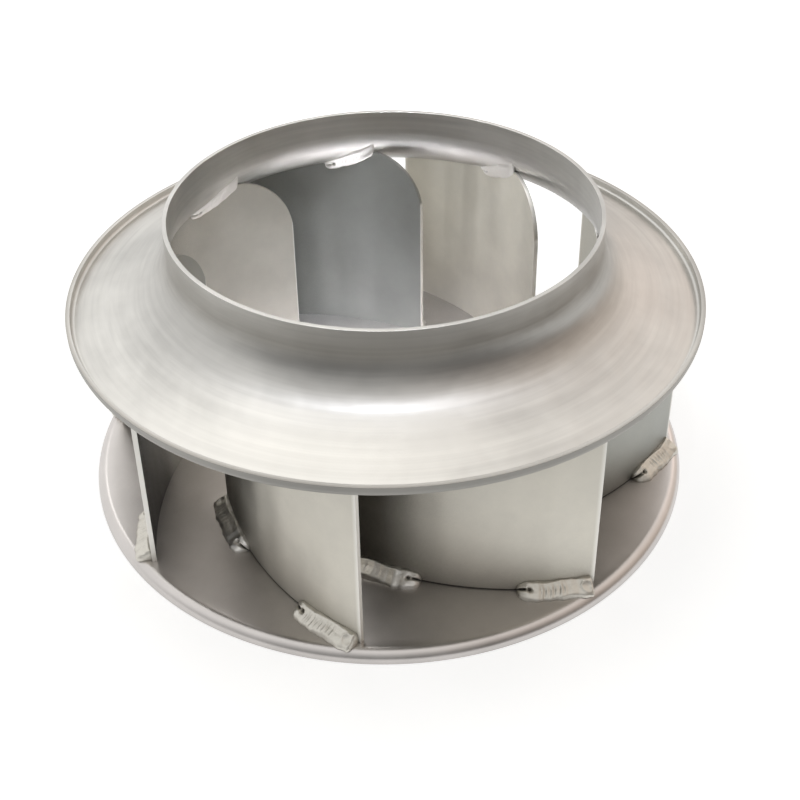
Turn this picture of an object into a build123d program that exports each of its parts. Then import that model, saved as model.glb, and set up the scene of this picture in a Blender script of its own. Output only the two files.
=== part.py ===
from build123d import *
from math import cos, hypot, radians, sin, sqrt, tan, acos, atan2, degrees
import os

# Welded sheet-metal centrifugal impeller: a spun shroud with an inlet collar, a flanged back plate,
# backward-curved blades stitched to both of them with weld beads, and a keyed hub screwed to the plate.
# Frame: millimetres, +Z along the shaft towards the inlet, origin on the axis in the plane of the
# back plate's rim edge, on which the impeller rests.

# Sheets
shroud_sheet = 3.0
plate_sheet = 3.0
blade_sheet = 3.0

# Shroud
inlet_radius = 140.0          # bore of the inlet collar
shroud_overhang = 11.0        # blade tips to the outside of the upturned edge
overall_height = 197.0        # rim edge of the back plate to the top of the collar
shroud_edge_drop = 55.0       # top of the collar to the top of the upturned edge
shroud_edge_depth = 8.0       # upturned edge, from its top down to the lowest point of the shroud
shroud_edge_bend = 5.0        # outside radius of the bend into the upturned edge
flare_radius = 34.0           # flow side of the bend from the collar to the shoulder
shoulder_angle = 27.0         # fall of the shoulder below the horizontal, degrees
shoulder_run = 2.0            # straight stretch between the flare and the shoulder's slow bend
shoulder_radius = 120.0       # flow side of the slow bend from the shoulder into the cone
cone_angle = 15.0             # fall of the cone below the horizontal, degrees

# Back plate
plate_overhang = 9.0          # blade tips to the outside of the turned-down edge
plate_height = 8.0            # rim edge to the blade side of the plate
plate_edge_bend = 7.0         # outside radius of the bend into the turned-down edge

# Blades
blade_count = 8
first_blade_azimuth = -49.85  # tip of the first blade, degrees from +X
tip_radius = 200.0            # trailing edge
eye_reach = 9.0               # collar's bore to the leading edges inside it
blade_curve_radius = 220.0    # convex face
outlet_angle = 28.0           # between the blade and the rim at the tip, degrees
blade_corner_radius = 45.0    # rounded corner between the leading edge and the top
blade_corner_rise = 11.5      # tallest point of that corner above the cone's line at the collar's bore
blade_top_gap = 0.5           # open slit between the blade's top and the shroud

# Weld beads
bead_leg = 7.5                # height on the blade, and width on the shroud at the tip
bead_crown = 1.2              # bulge of the stitch at the tip over the line between its legs
foot_leg = 10.5               # width of the foot stitches on the plate
foot_crown = 1.8              # bulge of the foot stitches over the line between their legs
outer_stitch_length = 48.0    # along the blade, from just inside the tip
inner_stitch_length = 52.0    # along the blade's foot, from just outside the leading edge
shroud_stitch_length = 38.0   # along the blade's top, from the collar's foot outwards
tip_setback = 1.5             # blade tip to the blunt end of the outer stitches
foot_stitch_setback = 1.0     # leading edge to the inner stitch at the foot
top_stitch_inset = 7.0        # collar's bore to the middle of that stitch's rounded inner end
wide_bead_round = 8.0         # bead of the inner stitch at the shroud, whose corner is wide open
wide_bead_root = 1.5          # depth of that bead's centre in both sheets

# Hub
bore_radius = 19.0
keyway_width = 10.0
keyway_depth = 3.3            # beyond the bore
boss_radius = 35.0
hub_height = 55.0             # above the blade side of the plate
flange_radius = 65.0
flange_thickness = 12.0
flange_fillet = 6.0
spigot_radius = 30.0          # centres the hub in the plate
spigot_clearance = 0.1
hub_chamfer = 1.0

# Hub screws, put in from below the plate into tapped holes of the flange
hub_screw_count = 6
hub_screw_circle_radius = 50.0
hub_screw_radius = 4.0
hub_screw_grip = 9.0          # thread held in the flange
hub_screw_hole_clearance = 0.5
screw_head_radius = 7.0
screw_head_height = 4.4
screw_head_round = 2.0
screw_socket_radius = 2.8     # over the corners of the hexagon
screw_socket_depth = 2.4

# Set screw over the key
set_screw_radius = 4.0
set_screw_length = 12.0
set_screw_height = 32.0       # above the blade side of the plate
set_screw_recess = 0.5        # below the boss's face
set_screw_socket_radius = 2.2
set_screw_socket_depth = 4.0

# Worked out from the sizes above
shroud_radius = tip_radius + shroud_overhang
plate_radius = tip_radius + plate_overhang
eye_radius = inlet_radius - eye_reach
shroud_edge_height = overall_height - shroud_edge_drop
cone_slope = radians(cone_angle)
shoulder_slope = radians(shoulder_angle)
edge_corner_z = (
    shroud_edge_height - shroud_edge_depth + shroud_edge_bend * (1 - tan(cone_slope) - 1 / cos(cone_slope))
)
flare_end_radius = inlet_radius + flare_radius * (1 - sin(shoulder_slope))
slow_bend_start_radius = flare_end_radius + shoulder_run * cos(shoulder_slope)
slow_bend_end_radius = slow_bend_start_radius + shoulder_radius * (sin(shoulder_slope) - sin(cone_slope))
curve_centre = Vector(
    tip_radius - blade_curve_radius * cos(radians(outlet_angle)),
    blade_curve_radius * sin(radians(outlet_angle)),
)
concave_radius = blade_curve_radius - blade_sheet
bead_round = (bead_leg**2 / 2 + bead_crown**2) / (2 * bead_crown)
bead_root = (bead_round - bead_crown) / sqrt(2) - bead_leg / 2
foot_chord = hypot(foot_leg, bead_leg)
foot_round = (foot_chord**2 / 4 + foot_crown**2) / (2 * foot_crown)
foot_blade_root = (foot_round - foot_crown) * bead_leg / foot_chord - foot_leg / 2
foot_plate_root = (foot_round - foot_crown) * foot_leg / foot_chord - bead_leg / 2
plate_underside = plate_height - plate_sheet


def cone_z(radius, offset=0.0):
    """Height of the cone's flow face at a radius, or of a line `offset` mm into the flow from it."""
    return edge_corner_z + (shroud_radius - radius) * tan(cone_slope) - offset / cos(cone_slope)


def slow_bend_z(radius):
    """Height of the flow face in the slow bend between the shoulder and the cone."""
    centre_radius = slow_bend_end_radius + shoulder_radius * sin(cone_slope)
    centre_z = cone_z(slow_bend_end_radius) + shoulder_radius * cos(cone_slope)
    return centre_z - sqrt(shoulder_radius**2 - (centre_radius - radius) ** 2)


def shoulder_z(radius, offset=0.0):
    """Height of the shoulder's straight line at a radius, or `offset` mm into the flow from it."""
    fall = (radius - slow_bend_start_radius) * tan(shoulder_slope)
    return slow_bend_z(slow_bend_start_radius) - fall - offset / cos(shoulder_slope)


def flare_z(radius):
    """Height of the flow face in the flare under the collar."""
    centre_z = shoulder_z(flare_end_radius) + flare_radius * cos(shoulder_slope)
    return centre_z - sqrt(flare_radius**2 - (inlet_radius + flare_radius - radius) ** 2)


def flow_face_z(radius):
    """Height of the shroud's flow face at a radius outside the collar's bore."""
    if radius > slow_bend_end_radius:
        return cone_z(radius)
    if radius > slow_bend_start_radius:
        return slow_bend_z(radius)
    if radius > flare_end_radius:
        return shoulder_z(radius)
    return flare_z(radius)


def shroud_line(offset):
    """Meridian of the shroud from the collar's top to the upturned edge, `offset` mm into the flow."""
    eye = inlet_radius - offset
    edge = shroud_radius + offset
    lines_apart = shoulder_z(0, offset) - cone_z(0, offset)
    shoulder = lines_apart / (tan(shoulder_slope) - tan(cone_slope))
    return FilletPolyline(
        (eye, overall_height),
        (eye, shoulder_z(eye, offset)),
        (shoulder, cone_z(shoulder, offset)),
        (edge, cone_z(edge, offset)),
        (edge, shroud_edge_height),
        radius=[flare_radius + offset, shoulder_radius + offset, shroud_edge_bend + offset],
    )


def turned(*edges):
    """Solid turned about the shaft axis from a closed outline in radius and height."""
    return revolve(Plane.XZ * make_face(edges), Axis.Z)


def shroud():
    flow_face = shroud_line(0)
    outer_face = shroud_line(-shroud_sheet)
    return turned(
        flow_face,
        Line(flow_face @ 0, outer_face @ 0),
        outer_face,
        Line(flow_face @ 1, outer_face @ 1),
    )


def under_shroud(gap=0.0):
    """Room between the plate and a surface `gap` mm below the shroud's flow face."""
    line = shroud_line(gap)
    top = line @ 0
    edge = line @ 1
    return turned(line, Polyline(edge, (edge.X, plate_height), (0, plate_height), (0, top.Y), top))


def plate_line(offset):
    """Meridian of the back plate from its centre hole to its rim, `offset` mm inside its outer face."""
    return FilletPolyline(
        (spigot_radius + spigot_clearance, plate_height - offset),
        (plate_radius - offset, plate_height - offset),
        (plate_radius - offset, 0),
        radius=plate_edge_bend - offset,
    )


def back_plate():
    blade_side = plate_line(0)
    back_side = plate_line(plate_sheet)
    plate = turned(
        blade_side,
        Line(blade_side @ 0, back_side @ 0),
        back_side,
        Line(blade_side @ 1, back_side @ 1),
    )
    hole = Cylinder(hub_screw_radius + hub_screw_hole_clearance, 4 * plate_height)
    return plate - PolarLocations(hub_screw_circle_radius, hub_screw_count) * hole


def curve_angle(radius, arc_radius=blade_curve_radius):
    """Angle about the blade's centre of curvature at which an arc about it crosses a radius of the wheel."""
    centre_distance = hypot(curve_centre.X, curve_centre.Y)
    inward = degrees(atan2(-curve_centre.Y, -curve_centre.X))
    cosine = (centre_distance**2 + arc_radius**2 - radius**2) / (2 * centre_distance * arc_radius)
    return inward + degrees(acos(cosine))


def curve_point(angle, radius, z):
    """Point at an angle and a distance about the blade's centre of curvature."""
    return Vector(
        curve_centre.X + radius * cos(radians(angle)),
        curve_centre.Y + radius * sin(radians(angle)),
        z,
    )


def arc_degrees(length):
    """Angle about the centre of curvature that a length along the blade takes up."""
    return degrees(length / blade_curve_radius)


def blade(room):
    """First blade, with its tip on +X: a rolled strip cut to the shroud, its eye corner rounded."""
    eye_angle = curve_angle(eye_radius)
    sweep_angle = curve_angle(tip_radius) - eye_angle
    centre = (curve_centre.X, curve_centre.Y)
    convex = CenterArc(centre, blade_curve_radius, eye_angle, sweep_angle)
    concave = CenterArc(centre, concave_radius, eye_angle, sweep_angle)
    ends = [Line(convex @ 0, concave @ 0), Line(convex @ 1, concave @ 1)]
    blank_height = cone_z(inlet_radius) + blade_corner_rise - plate_height
    strip = extrude(Pos(0, 0, plate_height) * make_face([convex, concave, *ends]), blank_height)
    tangent = Vector(-sin(radians(eye_angle)), cos(radians(eye_angle)))
    outward = Vector(cos(radians(eye_angle)), sin(radians(eye_angle)))
    side_view = Plane(curve_point(eye_angle, blade_curve_radius, plate_height), x_dir=tangent, z_dir=outward)
    corner = blade_corner_radius
    corner_box = Pos(0, blank_height) * Rectangle(2 * corner, 2 * corner)
    corner_round = Pos(corner, blank_height - corner) * Circle(corner)
    trimming = extrude(side_view * (corner_box - corner_round), corner, both=True)
    return (strip & room) - trimming


def bead(points, radius, room, rounded_ends):
    """Weld bead along an arc through three points, filling only the room beside its joint."""
    path = ThreePointArc(*points)
    metal = sweep(Plane(path @ 0, z_dir=path % 0) * Circle(radius), path)
    for end in rounded_ends:
        metal += Pos(path @ end) * Sphere(radius)
    return metal & room


def joint_points(first_angle, last_angle, radius, height_at):
    """Start, middle and end of a joint's arc at a distance from the centre of curvature."""
    angles = [first_angle, (first_angle + last_angle) / 2, last_angle]
    flat = [curve_point(angle, radius, 0) for angle in angles]
    return [Vector(point.X, point.Y, height_at(hypot(point.X, point.Y))) for point in flat]


def cap_length(radius, *roots):
    """How far a rounded end reaches along the joint past the end of the bead's arc."""
    return sqrt(radius**2 - sum(root**2 for root in roots))


def blade_beads():
    """The four stitches of the first blade, by name."""
    above_plate = under_shroud()
    curve_axis = Pos(curve_centre.X, curve_centre.Y, 0)
    convex_side = above_plate - curve_axis * Cylinder(blade_curve_radius, 4 * overall_height)
    concave_side = above_plate & curve_axis * Cylinder(concave_radius, 4 * overall_height)
    cap = cap_length(bead_round, bead_root, bead_root)
    foot_cap = cap_length(foot_round, foot_blade_root, foot_plate_root)
    wide_cap = cap_length(wide_bead_round, wide_bead_root, wide_bead_root)
    eye = curve_angle(eye_radius)
    tip_end = curve_angle(tip_radius) - arc_degrees(tip_setback)
    tip_start = tip_end - arc_degrees(outer_stitch_length - cap)
    foot_tip_start = tip_end - arc_degrees(outer_stitch_length - foot_cap)
    foot_start = eye + arc_degrees(foot_stitch_setback + foot_cap)
    foot_end = eye + arc_degrees(foot_stitch_setback + inner_stitch_length - foot_cap)
    top_line = concave_radius + wide_bead_root
    top_start = curve_angle(inlet_radius + top_stitch_inset, top_line)
    top_end = top_start + arc_degrees(shroud_stitch_length - 2 * wide_cap)

    def in_plate(radius):
        return plate_height - foot_plate_root

    def in_shroud(radius):
        return flow_face_z(radius) + bead_root

    def in_flare(radius):
        return flow_face_z(radius) + wide_bead_root

    foot_line = blade_curve_radius - foot_blade_root
    tip_foot = joint_points(foot_tip_start, tip_end, foot_line, in_plate)
    eye_foot = joint_points(foot_start, foot_end, foot_line, in_plate)
    tip_top = joint_points(tip_start, tip_end, blade_curve_radius - bead_root, in_shroud)
    eye_top = joint_points(top_start, top_end, top_line, in_flare)
    return {
        "foot_weld_outer": bead(tip_foot, foot_round, convex_side, [0]),
        "foot_weld_inner": bead(eye_foot, foot_round, convex_side, [0, 1]),
        "shroud_weld_outer": bead(tip_top, bead_round, convex_side, [0]),
        "shroud_weld_inner": bead(eye_top, wide_bead_round, concave_side, [0, 1]),
    }


def hub():
    """Turned flange hub with a keyed bore, a spigot in the plate and tapped holes for its screws."""
    top = plate_height + hub_height
    flange_top = plate_height + flange_thickness
    outline = Polyline(
        (bore_radius, plate_underside),
        (spigot_radius, plate_underside),
        (spigot_radius, plate_height),
        (flange_radius, plate_height),
        (flange_radius, flange_top),
        (boss_radius, flange_top),
        (boss_radius, top),
        (bore_radius, top),
        close=True,
    )
    body = turned(outline)
    circles = body.edges().filter_by(GeomType.CIRCLE)
    foot_of_boss = circles.filter_by(lambda edge: abs(edge.radius - boss_radius) < 0.01).sort_by(Axis.Z)[0]
    body = fillet(foot_of_boss, flange_fillet)
    circles = body.edges().filter_by(GeomType.CIRCLE)
    bore_ends = circles.filter_by(lambda edge: abs(edge.radius - bore_radius) < 0.01)
    boss_rim = circles.filter_by(lambda edge: abs(edge.radius - boss_radius) < 0.01).sort_by(Axis.Z)[-1]
    flange_rim = circles.filter_by(lambda edge: abs(edge.radius - flange_radius) < 0.01).sort_by(Axis.Z)[-1]
    body = chamfer([*bore_ends, boss_rim, flange_rim], hub_chamfer)
    keyway = Pos(0, (bore_radius + keyway_depth) / 2, top / 2) * Box(
        keyway_width, bore_radius + keyway_depth, 2 * top
    )
    tapped = Pos(0, 0, plate_height) * Cylinder(
        hub_screw_radius, hub_screw_grip, align=(Align.CENTER, Align.CENTER, Align.MIN)
    )
    body = body - keyway - PolarLocations(hub_screw_circle_radius, hub_screw_count) * tapped
    return body - set_screw_axis() * Cylinder(
        set_screw_radius, boss_radius, align=(Align.CENTER, Align.CENTER, Align.MIN)
    )


def set_screw_axis():
    """Place of the set screw: in the bottom of the keyway, its own axis pointing outwards along +Y."""
    return Pos(0, bore_radius, plate_height + set_screw_height) * Rot(-90, 0, 0)


def set_screw():
    """Headless screw with a hexagon socket, sunk a little below the boss's face."""
    length = set_screw_length
    start = boss_radius - bore_radius - set_screw_recess - length
    body = Cylinder(set_screw_radius, length, align=(Align.CENTER, Align.CENTER, Align.MIN))
    socket = extrude(RegularPolygon(set_screw_socket_radius, 6), set_screw_socket_depth)
    return set_screw_axis() * Pos(0, 0, start) * (body - Pos(0, 0, length - set_screw_socket_depth) * socket)


def hub_screw():
    """Button-head screw whose head bears on the back of the plate and whose socket faces down."""
    shank = Cylinder(
        hub_screw_radius, plate_sheet + hub_screw_grip, align=(Align.CENTER, Align.CENTER, Align.MIN)
    )
    head = Cylinder(screw_head_radius, screw_head_height, align=(Align.CENTER, Align.CENTER, Align.MAX))
    head = fillet(head.edges().sort_by(Axis.Z)[0], screw_head_round)
    socket = extrude(RegularPolygon(screw_socket_radius, 6), screw_socket_depth)
    return Pos(0, 0, plate_underside) * (shank + head - Pos(0, 0, -screw_head_height) * socket)


def hub_screws():
    """The ring of like screws that holds the hub to the plate."""
    return Compound(
        children=[place * hub_screw() for place in PolarLocations(hub_screw_circle_radius, hub_screw_count)]
    )


def main():
    os.makedirs("parts", exist_ok=True)
    nodes = {
        "shroud": shroud(),
        "back_plate": back_plate(),
        "hub": hub(),
        "hub_screws": hub_screws(),
        "set_screw": set_screw(),
    }
    pattern = {"blade": blade(under_shroud(blade_top_gap)), **blade_beads()}
    for number in range(1, blade_count + 1):
        azimuth = first_blade_azimuth + (number - 1) * 360 / blade_count
        for name, shape in pattern.items():
            nodes[f"{name}_{number}"] = Rot(0, 0, azimuth) * shape
    for name, shape in nodes.items():
        export_step(shape, f"parts/{name}.step")


main()
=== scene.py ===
"""Welded sheet-aluminium centrifugal impeller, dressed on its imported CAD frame."""

from math import acos, atan2, ceil, cos, exp, hypot, pi, radians, sin, sqrt, tan
from random import Random

import bmesh
import bpy
from bpy.props import FloatProperty, FloatVectorProperty, IntProperty, PointerProperty
from mathutils import Matrix, Vector


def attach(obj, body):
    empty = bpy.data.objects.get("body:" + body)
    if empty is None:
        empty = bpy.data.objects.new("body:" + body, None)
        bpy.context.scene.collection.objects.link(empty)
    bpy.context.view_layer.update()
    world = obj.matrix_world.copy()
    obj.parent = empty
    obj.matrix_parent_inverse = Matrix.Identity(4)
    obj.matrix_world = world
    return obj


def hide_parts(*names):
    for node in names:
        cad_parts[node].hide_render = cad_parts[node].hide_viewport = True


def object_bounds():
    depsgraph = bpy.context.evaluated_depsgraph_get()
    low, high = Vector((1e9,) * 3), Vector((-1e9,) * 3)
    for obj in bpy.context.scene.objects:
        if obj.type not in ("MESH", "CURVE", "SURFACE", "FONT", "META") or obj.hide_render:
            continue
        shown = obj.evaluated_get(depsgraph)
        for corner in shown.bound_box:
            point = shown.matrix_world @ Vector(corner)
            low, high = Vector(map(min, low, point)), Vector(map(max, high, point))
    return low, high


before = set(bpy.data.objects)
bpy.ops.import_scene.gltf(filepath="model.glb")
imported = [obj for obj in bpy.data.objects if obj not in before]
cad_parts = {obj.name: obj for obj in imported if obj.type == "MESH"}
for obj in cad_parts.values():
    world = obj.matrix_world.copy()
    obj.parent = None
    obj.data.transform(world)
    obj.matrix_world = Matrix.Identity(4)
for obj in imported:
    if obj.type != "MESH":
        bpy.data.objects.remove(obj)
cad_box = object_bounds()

bl_info = {
    "name": "Centrifugal impeller",
    "version": (1, 0, 0),
    "blender": (4, 5, 0),
    "location": "3D View > Sidebar > Impeller",
    "description": "Builds a welded sheet-aluminium impeller",
    "category": "Add Mesh",
}

MM = 0.001
WHITE = (1, 1, 1, 1)
# Steps around the shroud and the back plate.
TURNED_SEGMENTS = 300


def linear(hex_colour):
    """Linear red, green and blue of an sRGB hex colour."""
    parts = [int(hex_colour[i : i + 2], 16) / 255 for i in (0, 2, 4)]
    return tuple(v / 12.92 if v <= 0.04045 else ((v + 0.055) / 1.055) ** 2.4 for v in parts)


def length(description, millimetres):
    """A length property with its default in millimetres."""
    return FloatProperty(description=description, default=millimetres * MM, unit="LENGTH", precision=5)


def angle(description, degrees):
    """An angle property with its default in degrees."""
    return FloatProperty(description=description, default=radians(degrees), subtype="ANGLE")


def colour(description, hex_colour):
    """A colour property with an sRGB hex default."""
    bare = linear(hex_colour)
    return FloatVectorProperty(description=description, default=bare, subtype="COLOR", size=3, min=0, max=1)


def strength(description, default, unit="NONE"):
    """A strength property, of a lamp in watts or as a share of white."""
    return FloatProperty(description=description, default=default, unit=unit, min=0)


class SheetSizes(bpy.types.PropertyGroup):
    """Sizes of the shroud, the back plate and the blades."""

    sheet: length("Thickness of every sheet", 3)
    edge_round: length("Rounding of the cut edges", 0.35)
    inlet_radius: length("Bore of the inlet collar", 140)
    overall_height: length("Plate's rim to the top of the collar", 197)
    flare_radius: length("Flow side of the bend under the collar", 34)
    shoulder_angle: angle("Fall of the shoulder below the horizontal", 27)
    shoulder_run: length("Straight stretch between the flare and the slow bend", 2)
    shoulder_radius: length("Flow side of the slow bend into the cone", 120)
    cone_angle: angle("Fall of the shroud's cone below the horizontal", 15)
    shroud_radius: length("Outside of the shroud's upturned edge", 211)
    shroud_edge_height: length("Top of the upturned edge", 142)
    shroud_edge_depth: length("Height of the upturned edge", 8)
    shroud_edge_bend: length("Outside of the bend into that edge", 5)
    plate_radius: length("Outside of the back plate's turned-down edge", 209)
    plate_height: length("Rim of the back plate to its blade side", 8)
    plate_edge_bend: length("Outside of the bend into that edge", 7)
    plate_hole_radius: length("Hole for the hub's spigot", 30.1)
    blade_count: IntProperty(description="Number of blades", default=8, min=1)
    first_azimuth: angle("Azimuth of the first blade's tip", -49.85)
    tip_radius: length("Trailing edges", 200)
    eye_radius: length("Leading edges", 131)
    blade_curve: length("Radius of the blades' convex face", 220)
    outlet_angle: angle("Between blade and rim at the tip", 28)
    corner_radius: length("Rounded corner of the blades at the eye", 45)
    corner_rise: length("Its tallest point above the cone's line at the bore", 11.5)
    top_gap: length("Open slit between the blades and the shroud", 0.15)


class WeldSizes(bpy.types.PropertyGroup):
    """Sizes of the weld stitches and of their ripples."""

    leg: length("Height on the blade, and width on the shroud at the tip", 7.5)
    crown: length("Bulge at the tip over the line between the legs", 1.2)
    foot_leg: length("Width of the foot stitches on the plate", 10.5)
    foot_crown: length("Bulge of the foot stitches", 1.8)
    top_leg: length("Reach of the inner stitches at the shroud on each sheet", 6.5)
    top_crown: length("Bulge of those stitches", 0.9)
    sink: length("How deep a bead is fused into its sheets", 0.35)
    outer_length: length("Stitches at the tips", 48)
    inner_length: length("Stitches at the foot of the leading edges", 52)
    top_length: length("Stitches at the shroud beside the eye", 40)
    tip_setback: length("Tip to the outer stitches", 1.5)
    foot_setback: length("Leading edge to the inner stitches at the foot", 1)
    top_inset: length("Collar's bore to the inner end of those stitches", 2)
    ripple_pitch: length("From one ripple to the next", 2.9)
    ripple_height: length("Crest to trough", 0.7)
    ripple_bow: length("How far the middle of a ripple runs ahead of its ends", 1.6)
    ripple_wander: length("Unevenness of the ripples' places", 1.3)
    fork_length: length("Split end where a stitch breaks off", 8)
    slit_width: length("Gap between the two halves of the split end", 1.3)
    pit_radius: length("Hollow where the split starts", 1.2)
    crater_radius: length("Ring left where the arc stopped", 3.4)
    seed: IntProperty(description="Start value of everything random", default=7)


class ScrewSizes(bpy.types.PropertyGroup):
    """Sizes of the ring of hub screws."""

    count: IntProperty(description="Number of hub screws", default=6, min=1)
    circle: length("Radius of the ring of screws", 50)
    shank: length("Radius of the thread", 4)
    grip: length("Thread in the hub's flange", 9)
    head: length("Radius of the button head", 7)
    head_height: length("Height of the button head", 4.4)
    socket: length("Over the corners of the hexagon socket", 2.8)
    socket_depth: length("Depth of the hexagon socket", 2.4)


class Finishes(bpy.types.PropertyGroup):
    """Colours of the bare metals."""

    spun: colour("Shroud", "d4d2cd")
    plate: colour("Back plate", "d9d4d0")
    # The palest and dullest blade colours are the lit and shaded ends of the painted light on the blades'
    # sides.
    blade: colour("Palest blades", "e4e0d5")
    dull_blade: colour("Dullest blade", "abada8")
    weld: colour("Stitches", "dfdbd1")
    turned: colour("Hub", "d6d6d4")
    zinc: colour("Screws", "b4b7ba")
    floor: colour("Plain pale floor", "e9e8e6")


class Stage(bpy.types.PropertyGroup):
    """Strengths of the studio light."""

    key_power: strength("Soft light over the left", 2.3, "POWER")
    fill_power: strength("Soft light from the right", 0.5, "POWER")
    streak_power: strength("Small light behind the left", 0.3, "POWER")
    eye_power: strength("Narrow light down the inlet", 0.34, "POWER")
    floor_lift: strength("Glow of the floor to the camera", 0.6)
    sky_strength: strength("Even light from all around", 0.55)
    front_shade: strength("Brightness of the room in front", 0.18)
    back_shade: strength("Brightness of the backdrop in gloss", 1.05)


class Nodes:
    """Adds nodes to one tree by short calls that give back the new node's result."""

    def __init__(self, tree):
        tree.nodes.clear()
        self.tree = tree

    def add(self, kind, inputs=None, output=0, **settings):
        """One result of a new node, or all of them; a kind without the word Node is a shader node."""
        node = self.tree.nodes.new(kind if "Node" in kind else f"ShaderNode{kind}")
        for name, value in settings.items():
            setattr(node, name, value)
        for key, value in (inputs or {}).items():
            if isinstance(value, bpy.types.NodeSocket):
                self.tree.links.new(value, node.inputs[key])
            else:
                node.inputs[key].default_value = value
        return node.outputs if output is None else node.outputs[output]

    def math(self, operation, *values):
        """Result of a sum on numbers."""
        return self.add("Math", dict(enumerate(values)), operation=operation)

    def total(self, base, *terms):
        """A base number plus each value times its share."""
        for value, share in terms:
            base = self.math("MULTIPLY_ADD", value, share, base)
        return base

    def fitted(self, value, low, high, first, last, easing="LINEAR"):
        """A value carried from one range to another."""
        ends = {0: value, 1: low, 2: high, 3: first, 4: last}
        return self.add("MapRange", ends, interpolation_type=easing)

    def scaled(self, vector, share):
        """A colour or an offset times a number."""
        return self.add("VectorMath", {0: vector, "Scale": share}, operation="SCALE")

    def blend(self, share, first, second):
        """Colour between two colours."""
        return self.add("Mix", {"Factor": share, 6: first, 7: second}, 2, data_type="RGBA")

    def attribute(self, name):
        """Number stored on the mesh."""
        return self.add("Attribute", output="Fac", attribute_name=name)

    def noise(self, place, scale, detail, roughness=0.5, dimensions="3D"):
        """Cloudy pattern; the scale counts its waves to the metre."""
        values = {"Scale": scale, "Detail": detail, "Roughness": roughness}
        values["W" if dimensions == "1D" else "Vector"] = place
        return self.add("TexNoise", values, noise_dimensions=dimensions)

    def bump(self, height, strength, distance, under=None):
        """Normal bent by a height, on top of the bump under it."""
        values = {"Height": height, "Strength": strength, "Distance": distance}
        return self.add("Bump", {**values, **({"Normal": under} if under is not None else {})})

    def about_axis(self, place):
        """Parts of a place, its distance from the shaft axis, and both distance and height."""
        parts = self.add("SeparateXYZ", {0: place}, None)
        flat = self.add("CombineXYZ", {0: parts[0], 1: parts[1]})
        radius = self.add("VectorMath", {0: flat}, "Value", operation="LENGTH")
        return parts, radius, self.add("CombineXYZ", {0: radius, 1: parts[2]})

    def bare_metal(self, tint, rough, normal, more=None):
        """Metal shader on the material's output."""
        values = {"Base Color": tint, "Metallic": 1.0, "Roughness": rough, "Normal": normal}
        shader = self.add("BsdfPrincipled", {**values, **(more or {})})
        self.add("OutputMaterial", {"Surface": shader}, None)


def link_object(name, data):
    """New object in the scene."""
    item = bpy.data.objects.new(name, data)
    bpy.context.scene.collection.objects.link(item)
    return item


def finish_piece(name, mesh, nodes, modifiers=()):
    """Makes a mesh an object that stands for CAD nodes, with its modifiers applied."""
    piece = link_object(name, mesh)
    for kind, settings in modifiers:
        modifier = piece.modifiers.new(kind, kind)
        for key, value in settings.items():
            setattr(modifier, key, value)
    if modifiers:
        apply_modifiers(piece)
    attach(piece, "root")
    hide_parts(*nodes)


def apply_modifiers(piece):
    """Replaces a piece's mesh by the result of its modifiers."""
    graph = bpy.context.evaluated_depsgraph_get()
    plain = bpy.data.meshes.new_from_object(piece.evaluated_get(graph), depsgraph=graph)
    piece.modifiers.clear()
    piece.data = plain


def apply_group(piece, tree, values):
    """Runs a geometry node group on a piece, its inputs set by identifier, and keeps the result."""
    modifier = piece.modifiers.new(tree.name, "NODES")
    modifier.node_group = tree
    for item in tree.interface.items_tree:
        if item.item_type == "SOCKET" and item.in_out == "INPUT" and item.name in values:
            modifier[item.identifier] = values[item.name]
    apply_modifiers(piece)


def closed_mesh(name, points, faces, material):
    """Mesh of a closed shape, with its normals outwards and smooth shading."""
    mesh = bpy.data.meshes.new(name)
    mesh.from_pydata(points, [], faces)
    shape = bmesh.new()
    shape.from_mesh(mesh)
    bmesh.ops.recalc_face_normals(shape, faces=shape.faces)
    shape.to_mesh(mesh)
    shape.free()
    mesh.shade_smooth()
    mesh.materials.append(material)
    return mesh


def band_faces(rings, size):
    """Faces between closed rings of points that follow one another."""
    return [
        (start + i, start + (i + 1) % size, start + (i + 1) % size + size, start + i + size)
        for start in range(0, rings * size, size)
        for i in range(size)
    ]


def store(mesh, name, values):
    """Keeps a number for every vertex of a mesh."""
    mesh.attributes.new(name, "FLOAT", "POINT").data.foreach_set("value", values)


def store_radial(mesh, name, low, high):
    """Keeps a number that rises from 0 to 1 between two distances from the shaft axis."""
    store(mesh, name, [smooth_step(low, high, hypot(v.co.x, v.co.y)) for v in mesh.vertices])


def smooth_step(low, high, value):
    """0 below `low`, 1 above `high`, smooth between."""
    share = min(1.0, max(0.0, (value - low) / (high - low)))
    return share * share * (3 - 2 * share)


def bell(value, width):
    """1 at zero, falling smoothly to about a third at the width."""
    return exp(-((value / width) ** 2))


# Longest steps round a bend and along a straight, and the spacing of the points beside a bend.
TURN_STEP, RUN_STEP, SUPPORT = radians(7), 6 * MM, 0.25 * MM


def rounded_loop(corners, radii):
    """Points round a closed outline whose corners are arcs, with supports beside each arc."""
    corners = [Vector(corner) for corner in corners]
    arcs = []
    for index, (corner, radius) in enumerate(zip(corners, radii)):
        before = corners[index - 1] - corner
        after = corners[(index + 1) % len(corners)] - corner
        turn = pi - before.angle(after)
        middle = (before.normalized() + after.normalized()).normalized()
        chord = (after.normalized() - before.normalized()).normalized()
        centre = corner + middle * (radius / cos(turn / 2))
        steps = max(2, ceil(turn / TURN_STEP))
        swings = [turn * (step / steps - 0.5) for step in range(steps + 1)]
        arcs.append([centre + radius * (chord * sin(a) - middle * cos(a)) for a in swings])
    loop = []
    for arc, following in zip(arcs, arcs[1:] + arcs[:1]):
        loop += arc
        run = following[0] - arc[-1]
        inner = run.length - 2 * SUPPORT
        if inner > 2 * SUPPORT:
            steps = max(1, ceil(inner / RUN_STEP))
            reaches = [SUPPORT + inner * k / steps for k in range(steps + 1)]
            loop += [arc[-1] + run.normalized() * reach for reach in reaches]
    return [(point.x, point.y) for point in loop]


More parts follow.
